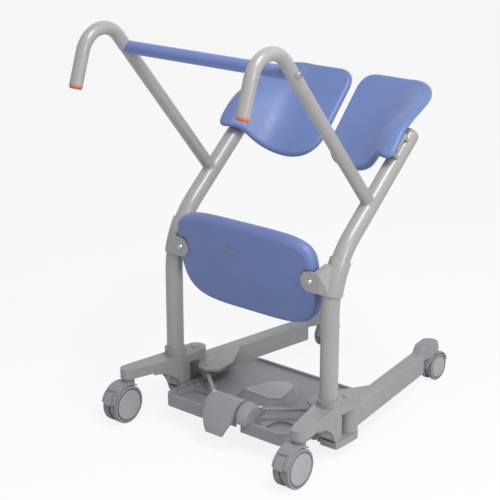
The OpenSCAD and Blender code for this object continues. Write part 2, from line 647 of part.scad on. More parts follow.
module yoke_pins() color(steel) at_frame() for (x = [-yoke_half, yoke_half]) translate([x, yoke_y, 0]) {
    translate([0, 0, rod_z - 10]) cylinder(d = rod_pin_d, h = 10 + rod_t + 0.6);
    translate([0, 0, rod_z + rod_t + 0.6]) cylinder(d = rod_pin_d + 5, h = 3);
}
rod_vec = [mast_half - arm_x - yoke_half, pivot_back - arm_y - yoke_y];
module tie_rod(s) color(base_grey) at_frame() side(s) translate([yoke_half, yoke_y, rod_z])
    rotate([0, 0, atan2(rod_vec[1], rod_vec[0])]) difference() {
        union() {
            cylinder(d = rod_pin_d + 9, h = rod_t);
            translate([4, -5, 0.6]) cube([norm(rod_vec) - 8, 10, rod_t - 1.2]);
            translate([norm(rod_vec), 0, 0]) cylinder(d = rod_pin_d + 2 * open_fit + 9, h = rod_t);
        }
        translate([0, 0, -1]) cylinder(d = rod_pin_d + 2 * run_fit, h = rod_t + 2);
        translate([norm(rod_vec), 0, -1]) cylinder(d = rod_pin_d + 2 * open_fit, h = rod_t + 2);
    }
module arm_pin(s) color(steel) at_frame() side(s) translate([mast_half - arm_x, pivot_back - arm_y, 0]) {
    translate([0, 0, rod_z - 10]) cylinder(d = rod_pin_d, h = 10 + rod_t + 0.6);
    translate([0, 0, rod_z + rod_t + 0.6]) cylinder(d = rod_pin_d + 9, h = 3);
}

// Leg: pivot eye with steering arm, hollow tube and a raised hood over the rear castor
module leg_place(s) at_frame() side(s) translate([mast_half, pivot_back, 0]) rotate([0, 0, leg_toe]) children();
module rounded_bar(w, h, l, r) {
    rotate([-90, 0, 0]) linear_extrude(l) union() {
        translate([-w / 2 + r, -h]) square([w - 2 * r, h]);
        translate([-w / 2, -h + r]) square([w, h - 2 * r]);
        for (x = [-w / 2 + r, w / 2 - r]) for (z = [-h + r, -r]) translate([x, z]) circle(r);
    }
}
leg_tube_end = leg_len - 80;
module leg(s) color(base_grey) {
    difference() {
        union() {
            leg_place(s) translate([0, 0, ear_low + pass_gap]) cylinder(r = 26, h = ear_high - ear_low - 2 * pass_gap);
            leg_place(s) translate([0, 10, leg_z]) rounded_bar(leg_w, leg_h, leg_tube_end - 10, 8);
            at_frame() side(s) translate([mast_half, pivot_back, rod_z - 0.5 - arm_t]) {
                rotate([0, 0, atan2(-arm_y, -arm_x)]) translate([14, -8, 0]) cube([norm([arm_x, arm_y]) - 19, 16, arm_t]);
                translate([-arm_x, -arm_y, 0]) cylinder(d = rod_pin_d + 10, h = arm_t);
            }
            // cover plate over the steering arm
            at_frame() side(s) translate([mast_half, pivot_back, leg_top - 7.4]) linear_extrude(6.4) polygon([
                [-20, -6], [-50, -46], [-76, -50], [-106, -28], [-100, 36], [-34, 150], [-18, 120]]);
        }
        leg_place(s) translate([0, 44, leg_z + 3]) rounded_bar(leg_w - 6, leg_h - 6, leg_len, 5);
        leg_place(s) cylinder(d = pivot_d + 2 * run_fit, h = 300);
        at_frame() side(s) translate([mast_half - arm_x, pivot_back - arm_y, 0]) cylinder(d = rod_pin_d + 0.1, h = 200);
    }
}
hood_low = rear_neck + 2;
hood_top = leg_top + 17;
module leg_hood(s) color(base_grey) leg_place(s) difference() {
    union() {
        // plug in the tube and a swept hood
        translate([0, leg_tube_end - 40, leg_z + 3.1]) rounded_bar(leg_w - 6.2, leg_h - 6.2, 40.5, 5);
        translate([0, leg_tube_end + 0.02, leg_z]) rounded_bar(leg_w, leg_h, 6, 8);
        hull() {
            translate([-leg_w / 2 + 6, leg_tube_end + 0.02, hood_low]) cube([leg_w - 12, 6, leg_top - hood_low]);
            translate([0, leg_len - 44, hood_low]) cylinder(r = leg_w / 2, h = hood_top - hood_low - 3, $fn = 32);
            translate([0, leg_len, hood_low]) cylinder(r = leg_w / 2 + 3, h = hood_top - hood_low - 6, $fn = 32);
            translate([0, leg_len - 10, hood_low]) cylinder(r = leg_w / 2 - 6, h = hood_top - hood_low, $fn = 32);
            translate([0, leg_len + 20, hood_low]) cylinder(r = leg_w / 2 - 2, h = 8, $fn = 32);
        }
    }
    translate([0, leg_len, 0]) cylinder(d = stem_d + 2 * run_fit, h = hood_top - 8);
}
module pivot_pins() color(steel) at_frame() for (s = [-1, 1]) translate([s * mast_half, pivot_back, 0]) {
    translate([0, 0, ear_low - 18]) cylinder(d = pivot_d, h = ear_high - ear_low + 40);
    translate([0, 0, ear_high + 22]) cylinder(d1 = pivot_d + 8, d2 = pivot_d + 4, h = 4);
    translate([0, 0, ear_low - 22]) cylinder(d = pivot_d + 6, h = 4);
}

// Twin wheel castor about its stem axis, rolling along Y
module fork_form(d, w, trail, top, stem_top) {
    r = d / 2;
    web = 9;
    difference() {
        union() {
            // stem and neck
            translate([0, 0, r + 8]) cylinder(d = stem_d, h = stem_top - r - 8);
            translate([0, 0, r + 3]) cylinder(d = 2 * stem_d + 4, h = top - r - 3);
            // web between the wheels
            translate([-web / 2, trail, r]) rotate([0, 90, 0]) cylinder(r = r - 7, h = web);
            // hood over the tread
            translate([-w / 2 + 3, trail, r]) rotate([90, 0, 90]) rotate([0, 0, trail > 0 ? 15 : 55])
                rotate_extrude(angle = 110) translate([r + 2, 0]) square([4, w - 6]);
            translate([-web / 2, trail, r]) rotate([90, 0, 90]) rotate([0, 0, trail > 0 ? 15 : 55])
                rotate_extrude(angle = 110) translate([r - 12, 0.1]) square([15.5, web - 0.2]);
        }
        // room for the wheels on both sides of the web
        for (x = [-w / 2 - 1, web / 2 + 0.2]) translate([x, trail, r]) rotate([0, 90, 0])
            cylinder(r = r + 1.9, h = w / 2 + 0.8 - web / 2);
        translate([-w, trail, r]) rotate([0, 90, 0]) cylinder(d = wheel_axle_d + 0.1, h = 2 * w);
    }
}
wheel_axle_d = 8;
module wheel_form(d, w) {
    r = d / 2;
    t = w / 2 - 4.5 - 1.5;
    for (s = [-1, 1]) side(s) translate([6, 0, 0]) rotate([0, 90, 0]) difference() {
        rotate_extrude() polygon([[0, 0], [r - 3, 0], [r, 3], [r, t - 4], [r - 2, t - 2], [r - 6, t - 1.4],
            [r - 7, t - 3], [r - 9, t - 3], [r - 10, t - 1], [r * 0.5, t], [0, t]]);
        translate([0, 0, -1]) cylinder(d = wheel_axle_d + 2 * run_fit, h = t - 3);
    }
}
module axle_form(w) translate([-w / 2 + 5, 0, 0]) rotate([0, 90, 0]) cylinder(d = wheel_axle_d, h = w - 10);

module front_place(s) at_frame() translate([s * castor_half, -castor_ahead, 0]) children();
module rear_place(s) at_frame() translate([s * rear_stem[0], rear_stem[1], 0]) children();

module fork_f(s) color(base_grey) front_place(s) fork_form(front_wheel_d, front_wheel_w, -front_trail,
    boss_low - pass_gap, boss_low + 19);
module fork_r(s) color(base_grey) rear_place(s) fork_form(rear_wheel_d, rear_wheel_w, rear_trail,
    hood_low - pass_gap, hood_top - 9);
module wheels_f(s) color(grey) front_place(s) translate([0, -front_trail, front_wheel_d / 2])
    wheel_form(front_wheel_d, front_wheel_w);
module wheels_r(s) color(grey) rear_place(s) translate([0, rear_trail, rear_wheel_d / 2])
    wheel_form(rear_wheel_d, rear_wheel_w);
module axle_f(s) color(steel) front_place(s) translate([0, -front_trail, front_wheel_d / 2]) axle_form(front_wheel_w);
module axle_r(s) color(steel) rear_place(s) translate([0, rear_trail, rear_wheel_d / 2]) axle_form(rear_wheel_w);

// Brake lever: a curved tab in front of the hood, with a round barrel at its hinge
brake_pin_r = front_wheel_d / 2 + 9.8;
module brake(s) color(base_grey) front_place(s) translate([0, -front_trail, front_wheel_d / 2])
    rotate([90, 0, 90]) rotate([0, 0, 128]) {
        rotate([0, 0, 0.9]) translate([0, 0, -11]) rotate_extrude(angle = 39)
            translate([front_wheel_d / 2 + 6 + pass_gap, 0]) square([4, 22]);
        translate([front_wheel_d / 2 + 7.6, -2.4, -10]) cube([8, 5.8, 20]);
        translate([brake_pin_r, 0, -12]) cylinder(r = 3.2, h = 24);
    }

footplate();
tread_pad();
footplate_bolts();
casting(-1);  // casting_l
casting(1);  // casting_r
mast(-1);  // mast_l
mast(1);  // mast_r
mast_cap(-1);  // mast_cap_l
mast_cap(1);  // mast_cap_r
mast_plugs();
handle(-1);  // handle_l
handle(1);  // handle_r
grip_cap(-1);  // grip_cap_l
grip_cap(1);  // grip_cap_r
crossbar();
crossbar_bolts();
knee_bracket(-1);  // knee_bracket_l
knee_bracket(1);  // knee_bracket_r
knee_pad();
knee_screws();
seat_lug(-1);  // seat_lug_l
seat_lug(1);  // seat_lug_r
seat_pins();
seat_flap(-1);  // seat_flap_l
seat_flap(1);  // seat_flap_r
seat_knuckle(-1);  // seat_knuckle_l
seat_knuckle(1);  // seat_knuckle_r
pedal_ear(-1);  // pedal_ear_l
pedal_ear(1);  // pedal_ear_r
pedal_axle();
pedal();
yoke();
yoke_pins();
tie_rod(-1);  // tie_rod_l
tie_rod(1);  // tie_rod_r
leg(-1);  // leg_l
leg(1);  // leg_r
leg_hood(-1);  // leg_hood_l
leg_hood(1);  // leg_hood_r
arm_pin(-1);  // arm_pin_l
arm_pin(1);  // arm_pin_r
pivot_pins();
fork_f(-1);  // fork_fl
fork_f(1);  // fork_fr
fork_r(-1);  // fork_rl
fork_r(1);  // fork_rr
wheels_f(-1);  // wheels_fl
wheels_f(1);  // wheels_fr
wheels_r(-1);  // wheels_rl
wheels_r(1);  // wheels_rr
axle_f(-1);  // axle_fl
axle_f(1);  // axle_fr
axle_r(-1);  // axle_rl
axle_r(1);  // axle_rr
brake(-1);  // brake_fl
brake(1);  // brake_fr
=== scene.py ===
"""Looks of the standing and transfer aid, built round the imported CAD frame. Metres, +Z up, front towards -Y."""

import json
import math

import bmesh
import bpy
import numpy as np
from mathutils import Matrix, Vector


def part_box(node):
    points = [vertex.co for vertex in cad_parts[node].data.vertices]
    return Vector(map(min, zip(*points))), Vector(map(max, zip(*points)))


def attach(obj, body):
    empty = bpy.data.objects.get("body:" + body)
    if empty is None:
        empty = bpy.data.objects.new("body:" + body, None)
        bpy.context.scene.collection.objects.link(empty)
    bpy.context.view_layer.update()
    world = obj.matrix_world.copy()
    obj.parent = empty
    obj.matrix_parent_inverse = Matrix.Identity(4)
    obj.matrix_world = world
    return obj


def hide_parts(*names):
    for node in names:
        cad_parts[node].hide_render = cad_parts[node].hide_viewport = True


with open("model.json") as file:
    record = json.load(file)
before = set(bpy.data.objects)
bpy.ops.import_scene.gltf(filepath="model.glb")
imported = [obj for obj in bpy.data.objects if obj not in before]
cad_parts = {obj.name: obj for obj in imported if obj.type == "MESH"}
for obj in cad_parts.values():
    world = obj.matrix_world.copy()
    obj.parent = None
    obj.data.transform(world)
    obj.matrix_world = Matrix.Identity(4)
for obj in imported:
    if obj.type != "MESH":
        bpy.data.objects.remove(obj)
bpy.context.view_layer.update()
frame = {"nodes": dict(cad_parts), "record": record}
nodes = frame["nodes"]

# Places in the CAD model: mm, with y measured from the mast foot
MM = 0.001
SHIFT = -139.903                    # y of the mast foot in the frame
MAST_X = 252.0
MAST_R = 22.5
MAST_END = (309.238, 747.434)       # y and z of the top end of the mast's axis
RAKE = math.radians(49.2)           # lean of the upper mast from upright
SINR, COSR = math.sin(RAKE), math.cos(RAKE)
HANDLE_R = 16.0
HANDLE_ROOT = (150.269, 610.216)    # y and z where the handle's axis meets the mast's
HANDLE_SLOPE = math.radians(50.2)
HOOK_LOW = (-321.356, 899.555)      # y and z of the end of the grip cap
HOOK_WAY = (0.0, 0.3123, 0.95)      # from that end up along the tube
ORANGE_END = 9.0                    # length of the grip cap that is orange
SIDES = {-1: "l", 1: "r"}


def lin(c):
    """sRGB 0 to 255 to linear."""
    out = []
    for v in c:
        v /= 255.0
        out.append(v / 12.92 if v <= 0.04045 else ((v + 0.055) / 1.055) ** 2.4)
    return out


def shader(tree, kind, values=None, **settings):
    """New shader node with its settings and the values of its inputs."""
    made = tree.nodes.new("ShaderNode" + kind)
    for name, value in settings.items():
        setattr(made, name, value)
    for name, value in (values or {}).items():
        made.inputs[name].default_value = value
    return made


# Camera, solved from the photograph's edges: 40 degrees right of the front, 18.5 degrees above level
scene = bpy.context.scene
scene.view_settings.view_transform = "Standard"

PHOTO_PX = 500.0
FOCAL_PX = 1430.0
SENSOR = 36.0
CAM_RIGHT = (0.76604, 0.64279, 0.0)
CAM_UP = (-0.20397, 0.24307, 0.94832)
CAM_BACK = (0.60957, -0.72648, 0.31730)
CAM_PLACE = (2.1410, (-2546.9 + SHIFT) * MM, 1.5938)

cam_data = bpy.data.cameras.new("camera")
cam_data.sensor_width = SENSOR
cam_data.lens = FOCAL_PX / PHOTO_PX * SENSOR
cam_data.clip_start = 0.05
cam_data.clip_end = 60.0
camera = bpy.data.objects.new("camera", cam_data)
scene.collection.objects.link(camera)
camera.matrix_world = Matrix([*zip(CAM_RIGHT, CAM_UP, CAM_BACK, CAM_PLACE), (0, 0, 0, 1)])
scene.camera = camera

# Light: three discs and a dim world that is white where it is seen
LIGHT_AIM = (0, 0, 0.5)
WORLD_LIGHT = 0.45


def area(name, place, size, power):
    data = bpy.data.lights.new(name, "AREA")
    data.shape = "DISK"
    data.size = size
    data.energy = power
    obj = bpy.data.objects.new(name, data)
    scene.collection.objects.link(obj)
    obj.location = place
    obj.rotation_euler = (Vector(LIGHT_AIM) - Vector(place)).to_track_quat("-Z", "Y").to_euler()


area("key", (1.4, -0.5, 2.9), size=1.2, power=50)
area("side", (3.2, -0.9, 1.7), size=0.8, power=26)
area("fill", (-1.2, -3.0, 1.6), size=2.0, power=6)

world = bpy.data.worlds.new("studio")
scene.world = world
world.use_nodes = True
wt = world.node_tree
wt.nodes.clear()
w_out = shader(wt, "OutputWorld")
w_mix = shader(wt, "MixShader")
w_path = shader(wt, "LightPath")
w_dim = shader(wt, "Background", {"Color": (0.93, 0.95, 1.0, 1), "Strength": WORLD_LIGHT})
w_white = shader(wt, "Background", {"Color": (1, 1, 1, 1), "Strength": 1.0})
seen = w_path.outputs["Is Camera Ray"]
for ray in ("Is Glossy Ray", "Is Transmission Ray"):
    either = shader(wt, "Math", operation="MAXIMUM")
    wt.links.new(seen, either.inputs[0])
    wt.links.new(w_path.outputs[ray], either.inputs[1])
    seen = either.outputs[0]
wt.links.new(seen, w_mix.inputs["Fac"])
wt.links.new(w_dim.outputs[0], w_mix.inputs[1])
wt.links.new(w_white.outputs[0], w_mix.inputs[2])
wt.links.new(w_mix.outputs[0], w_out.inputs["Surface"])

# Materials
WEAR_SCALE = 55.0           # size of the patches in which the roughness drifts
WEAR = 0.07                 # how far it drifts to each side
COAT_ROUGH = 0.14
BUMP_DEPTH = 0.0004


def material(name, rgb, rough, grain, bump, spread=0.05, metallic=0.0, coat=0.0, sheen=0.0, cloud=7.0):
    """Coat or moulding: broad colour drift, roughness drift and a fine grain in the bump."""
    m = bpy.data.materials.new(name)
    m.use_nodes = True
    t = m.node_tree
    t.nodes.clear()
    out = shader(t, "OutputMaterial")
    bsdf = shader(t, "BsdfPrincipled", {"Metallic": metallic})
    t.links.new(bsdf.outputs[0], out.inputs["Surface"])
    if coat:
        bsdf.inputs["Coat Weight"].default_value = coat
        bsdf.inputs["Coat Roughness"].default_value = COAT_ROUGH
    if sheen:
        bsdf.inputs["Sheen Weight"].default_value = sheen
    co = shader(t, "TexCoord")
    drift = shader(t, "TexNoise", {"Scale": cloud, "Detail": 2.0})
    worn = shader(t, "TexNoise", {"Scale": WEAR_SCALE, "Detail": 1.0})
    fine = shader(t, "TexNoise", {"Scale": grain, "Detail": 0.0})
    for noise in (drift, worn, fine):
        t.links.new(co.outputs["Object"], noise.inputs["Vector"])
    ramp = shader(t, "ValToRGB")
    dark, light = ramp.color_ramp.elements
    c = lin(rgb)
    dark.position, light.position = 0.3, 0.7
    dark.color = [v * (1 - spread) for v in c] + [1]
    light.color = [min(1, v * (1 + spread)) for v in c] + [1]
    t.links.new(drift.outputs["Fac"], ramp.inputs["Fac"])
    t.links.new(ramp.outputs["Color"], bsdf.inputs["Base Color"])
    span = shader(t, "MapRange", {"To Min": max(0.05, rough - WEAR), "To Max": min(1.0, rough + WEAR)})
    t.links.new(worn.outputs["Fac"], span.inputs["Value"])
    t.links.new(span.outputs["Result"], bsdf.inputs["Roughness"])
    b = shader(t, "Bump", {"Strength": bump, "Distance": BUMP_DEPTH})
    t.links.new(fine.outputs["Fac"], b.inputs["Height"])
    t.links.new(b.outputs["Normal"], bsdf.inputs["Normal"])
    return m


def opened(m):
    """Node tree of a material made above, with its shader, colour ramp and coordinates."""
    t = m.node_tree
    return [t] + [next(n for n in t.nodes if n.type == kind) for kind in ("BSDF_PRINCIPLED", "VALTORGB", "TEX_COORD")]


# Tone of a wheel by its share of the radius: disc, dark ring at the bead, rim, tread
WHEEL_TONES = ((0.76, 1.0), (0.80, 0.45), (0.87, 0.45), (0.90, 0.9), (0.95, 0.62))
TREAD_TONE = 0.5


def wheel_material(name, centre, r):
    """Moulded disc with a darker ring at the bead and a rubber tread, by distance from the axle."""
    m = material(name, (164, 164, 166), rough=0.5, grain=900, bump=0.15)
    t, bsdf, ramp, co = opened(m)
    sub = shader(t, "VectorMath", operation="SUBTRACT")
    sub.inputs[1].default_value = centre
    flat = shader(t, "VectorMath", operation="MULTIPLY")
    flat.inputs[1].default_value = (0, 1, 1)
    length = shader(t, "VectorMath", operation="LENGTH")
    t.links.new(co.outputs["Object"], sub.inputs[0])
    t.links.new(sub.outputs[0], flat.inputs[0])
    t.links.new(flat.outputs[0], length.inputs[0])
    span = shader(t, "MapRange", {"From Min": 0.0, "From Max": r})
    t.links.new(length.outputs["Value"], span.inputs["Value"])
    tone = shader(t, "ValToRGB")
    stops = tone.color_ramp.elements
    stops[0].position, stops[0].color = 0.0, (1, 1, 1, 1)
    stops[1].position, stops[1].color = 1.0, (TREAD_TONE, TREAD_TONE, TREAD_TONE, 1)
    for place, v in WHEEL_TONES:
        stops.new(place).color = (v, v, v, 1)
    t.links.new(span.outputs["Result"], tone.inputs["Fac"])
    mul = shader(t, "Mix", data_type="RGBA", blend_type="MULTIPLY")
    mul.inputs["Factor"].default_value = 1.0
    t.links.new(ramp.outputs["Color"], mul.inputs["A"])
    t.links.new(tone.outputs["Color"], mul.inputs["B"])
    t.links.new(mul.outputs["Result"], bsdf.inputs["Base Color"])
    return m


CAP_SLEEVE = (161, 158, 156)


def tip_material(name):
    """Grip cap: orange at its end, the grey of the tube above that."""
    m = material(name, (205, 108, 68), rough=0.4, grain=1500, bump=0.1, spread=0.05)
    t, bsdf, ramp, co = opened(m)
    along = shader(t, "VectorMath", operation="DOT_PRODUCT")
    along.inputs[1].default_value = HOOK_WAY
    t.links.new(co.outputs["Object"], along.inputs[0])
    over = shader(t, "Math", operation="GREATER_THAN")
    low = HOOK_WAY[1] * (HOOK_LOW[0] + SHIFT) + HOOK_WAY[2] * HOOK_LOW[1]
    over.inputs[1].default_value = (low + ORANGE_END) * MM
    t.links.new(along.outputs["Value"], over.inputs[0])
    mix = shader(t, "Mix", data_type="RGBA")
    mix.inputs["B"].default_value = lin(CAP_SLEEVE) + [1]
    t.links.new(over.outputs[0], mix.inputs["Factor"])
    t.links.new(ramp.outputs["Color"], mix.inputs["A"])
    t.links.new(mix.outputs["Result"], bsdf.inputs["Base Color"])
    return m


LOOK = {
    "frame_grey": material("frame_grey", (159, 156, 154), rough=0.36, grain=1400, bump=0.015, spread=0.03, coat=0.4),
    "base_grey": material("base_grey", (150, 150, 151), rough=0.42, grain=1300, bump=0.12, spread=0.04),
    "base_plastic": material("base_plastic", (143, 144, 147), rough=0.48, grain=1700, bump=0.22, spread=0.05),
    "island": material("island", (172, 173, 175), rough=0.5, grain=1500, bump=0.25, spread=0.04),
    "pad_blue": material("pad_blue", (100, 121, 174), rough=0.42, grain=2200, bump=0.16, spread=0.035, sheen=0.12),
    "bar_blue": material("bar_blue", (108, 128, 185), rough=0.5, grain=2200, bump=0.2, spread=0.04),
    "steel": material("steel", (190, 192, 196), rough=0.3, grain=2600, bump=0.12, spread=0.06, metallic=1.0, cloud=60),
    "dark": material("dark_plug", (60, 60, 62), rough=0.55, grain=1500, bump=0.2, spread=0.08),
}
BADGE = material("badge_plate", (104, 122, 152), rough=0.35, grain=1500, bump=0.05, spread=0.06)
# Painted over with the pieces that they hold or lie in
PAINTED_OVER = {"pivot_pins": "base_grey", "footplate_bolts": "base_plastic", "tie_rod_l": "base_plastic",
                "tie_rod_r": "base_plastic", "yoke": "base_plastic"}


def paint(obj, mat):
    obj.data.materials.clear()
    obj.data.materials.append(mat)


for part in frame["record"]["subparts"]:
    name = part["node"]
    kind = PAINTED_OVER.get(name, part["material_slot"])
    if kind == "wheel_grey":
        lo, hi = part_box(name)
        mid = [(a + b) / 2 for a, b in zip(lo, hi)]
        paint(nodes[name], wheel_material("wheel_" + name[-2:], mid, (hi[2] - lo[2]) / 2))
    elif kind == "cap_orange":
        paint(nodes[name], tip_material("grip_tip" + name[-2:]))
    else:
        paint(nodes[name], LOOK[kind])


# Mesh helpers
def add(name, verts, faces, mat, body, level=0):
    """New smooth piece that rides on a body, with its material, slot and level of subdivision."""
    mesh = bpy.data.meshes.new(name)
    mesh.from_pydata([tuple(v) for v in verts], [], faces)
    mesh.update()
    obj = bpy.data.objects.new(name, mesh)
    scene.collection.objects.link(obj)
    bm = bmesh.new()
    bm.from_mesh(mesh)
    bmesh.ops.recalc_face_normals(bm, faces=bm.faces)
    for f in bm.faces:
        f.smooth = True
    bm.to_mesh(mesh)
    bm.free()
    if level:
        sub = obj.modifiers.new("round", "SUBSURF")
        sub.levels = sub.render_levels = level
    paint(obj, mat)
    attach(obj, body)
    return obj


def even(loop, count):
    """Closed outline resampled at even distances."""
    loop = np.array(loop, float)
    step = np.linalg.norm(np.roll(loop, -1, 0) - loop, axis=1)
    run = np.concatenate([[0], np.cumsum(step)])
    closed = np.vstack([loop, loop[:1]])
    at = np.linspace(0, run[-1], count, endpoint=False)
    return np.stack([np.interp(at, run, closed[:, k]) for k in range(2)], 1)


def rounded(corners, steps=24):
    """Closed outline through corners (x, y, cut), each rounded by a curve that starts at the cut from it."""
    out = []
    n = len(corners)
    for k in range(n):
        here = np.array(corners[k][:2])
        cut = corners[k][2]
        ends = []
        for other in (corners[k - 1], corners[(k + 1) % n]):
            way = np.array(other[:2]) - here
            ends.append(here + way / np.linalg.norm(way) * cut)
        for j in range(steps + 1):
            t = j / steps
            out.append((1 - t) ** 2 * ends[0] + 2 * t * (1 - t) * here + t * t * ends[1])
    return np.array(out)


def edge_distance(points, loop):
    """Distance of each point to a closed outline."""
    a, b = loop, np.roll(loop, -1, 0)
    d = b - a
    q = np.maximum((d * d).sum(1), 1e-12)
    best = np.full(len(points), 1e9)
    for k in range(len(a)):
        u = np.clip(((points - a[k]) @ d[k]) / q[k], 0, 1)
        best = np.minimum(best, np.linalg.norm(points - (a[k] + u[:, None] * d[k]), axis=1))
    return best


def quarter_round(d, r):
    """Height, from 0 to 1, of a rounded edge of radius r at a distance d from the outline."""
    return np.sqrt(np.maximum(0, 1 - (1 - np.minimum(1, d / r)) ** 2))


def pillow(loop, centre, rings):
    """Rings of points from the outline in to its centre, which is the last one."""
    return [centre + (loop - centre) * k for k in rings] + [centre[None, :]]


def new_points(verts, points):
    """Adds points to verts and gives their numbers."""
    first = len(verts)
    verts.extend(points)
    return list(range(first, len(verts)))


def side_rows(verts, flat, loop, height, place, rim=None):
    """Adds the rings of one side and gives their numbers. rim stands in for the ring on the outline."""
    rows = []
    for k, ring in enumerate(flat):
        if k == 0 and rim is not None:
            rows.append(rim)
            continue
        d = edge_distance(ring, loop) if k else np.zeros(len(ring))
        rows.append(new_points(verts, place(ring, height(ring, d))))
    return rows


def bands(rows, flip=False):
    """Faces between each row of points and the next. A row of one point closes the ring before it."""
    faces = []
    for a, b in zip(rows, rows[1:]):
        for j in range(len(a)):
            i = (j + 1) % len(a)
            f = [a[j], a[i], b[0]] if len(b) == 1 else [a[j], a[i], b[i], b[j]]
            faces.append(f[::-1] if flip else f)
    return faces


# Seat pads, in mm: x across from the middle, v along the mast, w square to it
SEAT_FRONT, SEAT_REAR = -95.0, 178.0
SEAT_IN = 12.0              # from the middle to the pad's inner edge
SEAT_DROP = 42.0            # of the flat part below the mast's axis
SEAT_FLAT = 86.0            # width of the flat part, with SEAT_FLARE more at the rear
SEAT_FLARE = 46.0
FLARE_FROM = -46.0          # v at which the wall starts to lie down towards the rear
UP_R, UP_FRONT, UP_REAR = 120.0, 49.0, 8.0      # bend up into the wall, and its degrees
WALL = 56.0
OVER_R, OVER_DOWN = 38.0, 8.0                   # bend over the mast, and the wing's fall in degrees
SEAT_LIFT, LIFT_FROM = 0.115, -50.0             # rise to the rear
SEAT_HALF = 10.0            # half of the thickness
SEAT_EDGE = 10.5            # radius of the edge
WING_THIN, WING_OVER = 0.2, 100.0               # share by which the wing is thinner, and over what width
CROWN, CROWN_OVER = 1.2, 35.0
SEAM, SEAM_IN, SEAM_W = 0.9, 16.0, 1.6          # groove of the underside: depth, distance to the edge, width
SEAT_POINTS = 288
SEAT_CENTRE = np.array([128.0, 38.0])
SEAT_RINGS = [1, 0.998, 0.993, 0.985, 0.974, 0.96] + list(np.linspace(0.942, 0.05, 34))
# Distance across the skin, v and rounding: inner front, front, notch by the mast, wing, outer rear, inner rear
SEAT_CORNERS = [(0, SEAT_FRONT, 95), (168, SEAT_FRONT - 3, 42), (232, -88, 20), (300, -113, 42), (300, -20, 48),
                (228, SEAT_REAR, 78), (0, SEAT_REAR, 52)]


def flap_mid(q, v):
    """Middle line of the flap at distance q across it and v along the mast: x, height and slope."""
    k = max(0.0, (v - FLARE_FROM) / (SEAT_REAR - FLARE_FROM))
    k = k * k * (2 - k)
    up = math.radians(UP_FRONT + (UP_REAR - UP_FRONT) * k)
    x, w = SEAT_IN, -SEAT_DROP
    run = SEAT_FLAT + SEAT_FLARE * k
    if q < run:
        return x + q, w, 0.0
    x, q, r = x + run, q - run, UP_R
    a = min(q / r, up)
    x, w, q = x + r * math.sin(a), w + r * (1 - math.cos(a)), q - r * a
    if a < up:
        return x, w, a
    d = min(q, WALL)
    x, w, q, r = x + d * math.cos(up), w + d * math.sin(up), q - d, OVER_R
    a = max(up - q / r, -math.radians(OVER_DOWN))
    x, w, q = x + r * (math.sin(up) - math.sin(a)), w + r * (math.cos(a) - math.cos(up)), q - r * (up - a)
    return x + q * math.cos(a), w + q * math.sin(a), a


def on_mast(x, v, w):
    return (x * MM, (MAST_END[0] + v * SINR - w * COSR + SHIFT) * MM, (MAST_END[1] + v * COSR + w * SINR) * MM)


def seat_skin(points, d):
    """Half of the pad's thickness, which is less towards the wing and round at the edge."""
    return SEAT_HALF * quarter_round(d, SEAT_EDGE) * (
        1 - WING_THIN * np.clip((points[:, 0] - SEAT_FLAT) / WING_OVER, 0, 1))


def seat_top(points, d):
    return seat_skin(points, d) + CROWN * (1 - np.exp(-(d / CROWN_OVER) ** 2))


def seat_low(points, d):
    return -(seat_skin(points, d) - SEAM * np.exp(-((d - SEAM_IN) / SEAM_W) ** 2))


def seat_pad(side):
    """Pad of one seat flap: flat inside, bent up and over the mast into a wing."""
    def place(points, h):
        out = []
        for (p, v), dh in zip(points, h):
            x, w, a = flap_mid(p, v)
            lift = SEAT_LIFT * (v - LIFT_FROM)
            out.append(on_mast(side * (x - dh * math.sin(a)), v, w + dh * math.cos(a) + lift))
        return out

    loop = even(rounded(SEAT_CORNERS), SEAT_POINTS)
    flat = pillow(loop, SEAT_CENTRE, SEAT_RINGS)
    verts = []
    top = side_rows(verts, flat, loop, seat_top, place)
    low = side_rows(verts, flat, loop, seat_low, place, rim=top[0])
    tag = SIDES[side]
    obj = add("seat_pad_" + tag, verts, bands(top) + bands(low, True), LOOK["pad_blue"], "seat_" + tag)
    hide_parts("seat_flap_" + tag)


# Knee pad, in mm: x across, y to the rear, z up from its middle
KNEE_W, KNEE_H, KNEE_T = 450.0, 243.0, 38.0
KNEE_Z, KNEE_Y = 431.0, -20.0
KNEE_TILT, KNEE_LEAN = math.radians(4), math.radians(8)     # of the bracket, and of the pad on it
KNEE_POWER, KNEE_LOW_POWER = 0.42, 0.62                     # squareness of the outline above and below
KNEE_TAPER = 0.035
KNEE_STEPS, KNEE_POINTS = 480, 240
KNEE_CENTRE = np.array([0.0, 4.0])
KNEE_RINGS = [1, 0.998, 0.993, 0.984, 0.972, 0.957, 0.94, 0.92, 0.895, 0.86, 0.81, 0.75, 0.68, 0.6, 0.5, 0.4, 0.3,
              0.2, 0.1, 0.04]
KNEE_EDGE, KNEE_EDGE_TOP, KNEE_EDGE_REAR = 13, 7, 14        # edge radius, what the top edge adds, and at the rear
TOP_FROM, TOP_OVER = 60, 50
EDGE_DEPTH = 16
KNEE_CROWN, KNEE_CROWN_REAR, KNEE_CROWN_OVER, KNEE_CROWN_POWER = 2.4, 3.5, 110, 0.7
SCREW_X, SCREW_Z = 207.0, 21.0
PLATE = 52.0                # bracket plate over the front of the pad
PLATE_GAP = 1.4
PLATE_SIDE, PLATE_SIDE_OVER, PLATE_END, PLATE_END_OVER = 4, 5, 5, 4
# Piping round the pad: share of the outline, and y
PIPING = ((1.003, 17.5), (1.0045, 18.6), (1.0015, 19.3), (1.0045, 20.0), (1.003, 21.0))


